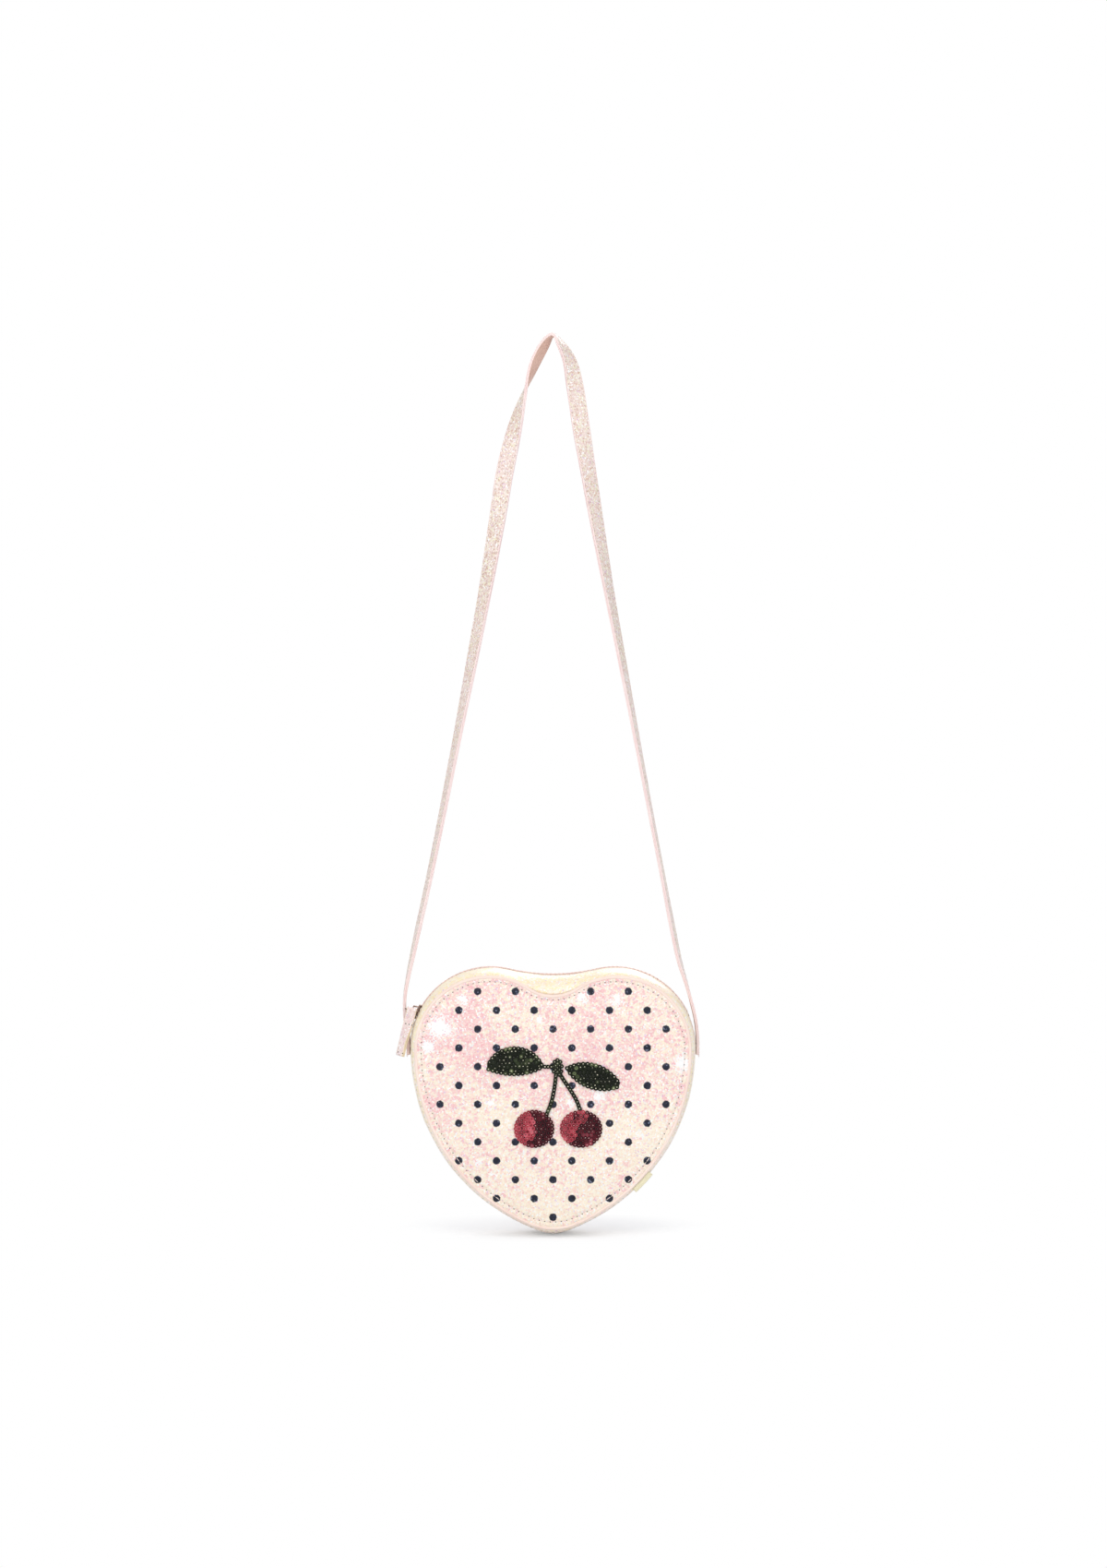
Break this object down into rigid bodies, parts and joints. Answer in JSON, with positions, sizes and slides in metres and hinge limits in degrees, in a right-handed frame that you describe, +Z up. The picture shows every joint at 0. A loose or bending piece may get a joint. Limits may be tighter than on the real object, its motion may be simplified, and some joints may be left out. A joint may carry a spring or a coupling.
{
  "type": "handbag",
  "caption": "Small heart-shaped crossbody handbag with a zipped top, framed panels, a raised cherry motif and a slim shoulder strap.",
  "frame": {"origin": "underside of the strap's crown, where a shoulder or a hook holds the bag", "axes": "+Z up along the hanging bag, +X to the viewer's right of the front panel, +Y from the front panel towards the back panel"},
  "size_m": [0.1807, 0.0455, 0.5371],
  "materials": {
    "glitter_leatherette": "glitter-coated leatherette, pale pink",
    "gusset_leatherette": "glitter-coated leatherette, cream",
    "smooth_trim": "smooth leatherette, pale pink",
    "strap_backing": "smooth leatherette, tan pink",
    "stiffener": "foam board",
    "lining": "woven polyester lining",
    "zip_tape": "woven tape",
    "zip_teeth": "moulded plastic",
    "zip_metal": "plated zinc, dark rose",
    "label_ribbon": "folded satin ribbon, bare",
    "leaf_sequins": "green-black sequins",
    "red_sequins": "red sequins",
    "maroon_sequins": "maroon sequins"
  },
  "bodies": {
    "strap": {"strap_face": "glitter_leatherette", "strap_backing": "strap_backing"},
    "bag": {"front_panel": "glitter_leatherette", "back_panel": "glitter_leatherette", "front_binding": "smooth_trim", "back_binding": "smooth_trim", "front_stiffener": "stiffener", "back_stiffener": "stiffener", "front_lining": "lining", "back_lining": "lining", "bottom_gusset": "gusset_leatherette", "gusset_lining": "lining", "front_zip_band": "gusset_leatherette", "back_zip_band": "gusset_leatherette", "front_band_lining": "lining", "back_band_lining": "lining", "front_zip_tape": "zip_tape", "back_zip_tape": "zip_tape", "front_zip_teeth": "zip_teeth", "back_zip_teeth": "zip_teeth", "zip_top_stops": "zip_metal", "zip_bottom_stop": "zip_metal", "zip_end_patches": "gusset_leatherette", "side_label": "label_ribbon", "left_leaf": "leaf_sequins", "right_leaf": "leaf_sequins", "cherry_stems": "leaf_sequins", "left_cherry_lit": "red_sequins", "left_cherry_shade": "maroon_sequins", "right_cherry_lit": "red_sequins", "right_cherry_shade": "maroon_sequins"},
    "slider": {"slider_body": "zip_metal"},
    "ring": {"pull_ring": "zip_metal"},
    "tab": {"pull_tab": "glitter_leatherette"}
  },
  "joints": [
    {"name": "bag_swing", "type": "hinge", "parent": "strap", "child": "bag", "pos_m": [0, 0, -0.4231], "axis": [1, 0, 0], "range_deg": [-3, 100]},
    {"name": "zip_slide", "type": "hinge", "parent": "bag", "child": "slider", "pos_m": [-0.037, 0, -0.4251], "axis": [0, 1, 0], "range_deg": [0, 71], "deforming": ["front_zip_teeth", "back_zip_teeth"]},
    {"name": "ring_tilt", "type": "hinge", "parent": "slider", "child": "ring", "pos_m": [-0.08419, 0, -0.40209], "axis": [0, 1, 0], "range_deg": [0, 30]},
    {"name": "tab_swing", "type": "hinge", "parent": "ring", "child": "tab", "pos_m": [-0.08419, -0.0096, -0.40209], "axis": [-0.9744, 0, 0.225], "range_deg": [0, 90]}
  ]
}
